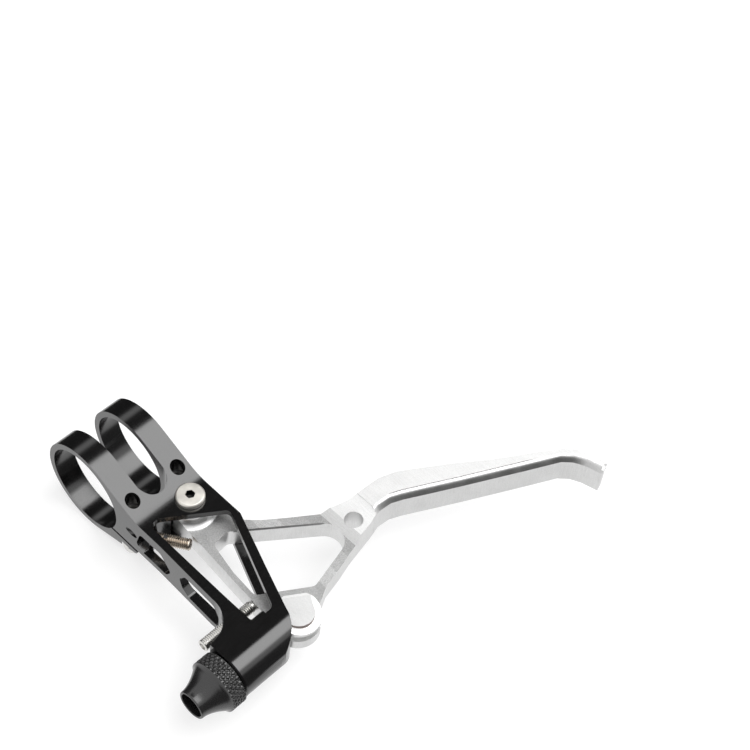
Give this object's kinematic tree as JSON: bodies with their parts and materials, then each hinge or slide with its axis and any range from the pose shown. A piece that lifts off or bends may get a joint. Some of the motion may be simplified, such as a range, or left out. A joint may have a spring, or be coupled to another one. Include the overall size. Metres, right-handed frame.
{
  "type": "cable brake lever",
  "caption": "Cable brake lever for a flat handlebar: open two-ring clamp bracket, skeleton blade on a ball-bearing pivot, and a knurled barrel adjuster.",
  "frame": {"origin": "centre of the handlebar clamp bore, midway between the two clamp rings and midway through the lever's thickness", "axes": "+X along the handlebar towards the lever tip, +Z parallel to the lever pivot towards its bolt head, -Y from the handlebar towards the lever blade"},
  "size_m": [0.1135, 0.0942, 0.0254],
  "materials": {
    "black_anodised": "gloss black anodised",
    "silver_aluminium": "satin machined",
    "stainless": "turned",
    "bolt_steel": "turned, lightly polished",
    "bearing_steel": "ground and polished",
    "cage_plastic": "moulded",
    "lock_nylon": "matt",
    "black_rubber": "matt"
  },
  "bodies": {
    "bracket": {"body": "black_anodised", "thread_inserts": "stainless", "clamp_bolts": "bolt_steel", "pivot_bolt": "bolt_steel", "pivot_axle": "stainless", "bearing_inner_rings": "bearing_steel", "bearing_spacer": "silver_aluminium", "bearing_shims": "stainless", "bearing_balls": "bearing_steel", "bearing_cages": "cage_plastic"},
    "blade": {"lever_blade": "silver_aluminium", "bearing_outer_rings": "bearing_steel", "bearing_shields": "stainless"},
    "stop_screw_body": {"stop_screw": "bolt_steel", "stop_screw_pellet": "lock_nylon"},
    "reach_screw_body": {"reach_screw": "stainless", "reach_screw_pellet": "lock_nylon"},
    "adjuster_ring": {"adjuster_o_ring": "black_rubber"},
    "adjuster": {"barrel_adjuster": "black_anodised"}
  },
  "joints": [
    {"name": "lever_pivot", "type": "hinge", "parent": "bracket", "child": "blade", "pos_m": [0.0042, -0.0212, 0], "axis": [0, 0, 1], "range_deg": [0, 32]},
    {"name": "stop_screw_slide", "type": "slide", "parent": "bracket", "child": "stop_screw_body", "axis": [0.5506, -0.8347, 0], "range_m": [-0.003, 0]},
    {"name": "reach_screw_slide", "type": "slide", "parent": "bracket", "child": "reach_screw_body", "axis": [1, 0, 0], "range_m": [-0.004, 0]},
    {"name": "adjuster_slide", "type": "slide", "parent": "bracket", "child": "adjuster_ring", "axis": [-1, 0, 0], "range_m": [0, 0.005]},
    {"name": "adjuster_turn", "type": "hinge", "parent": "adjuster_ring", "child": "adjuster", "pos_m": [-0.0211, -0.0587, 0], "axis": [1, 0, 0], "range_deg": [0, 1800]}
  ],
  "couplings": [
    {"joint": "adjuster_slide", "follows": "adjuster_turn", "m_per_rad": 0.00015915}
  ]
}
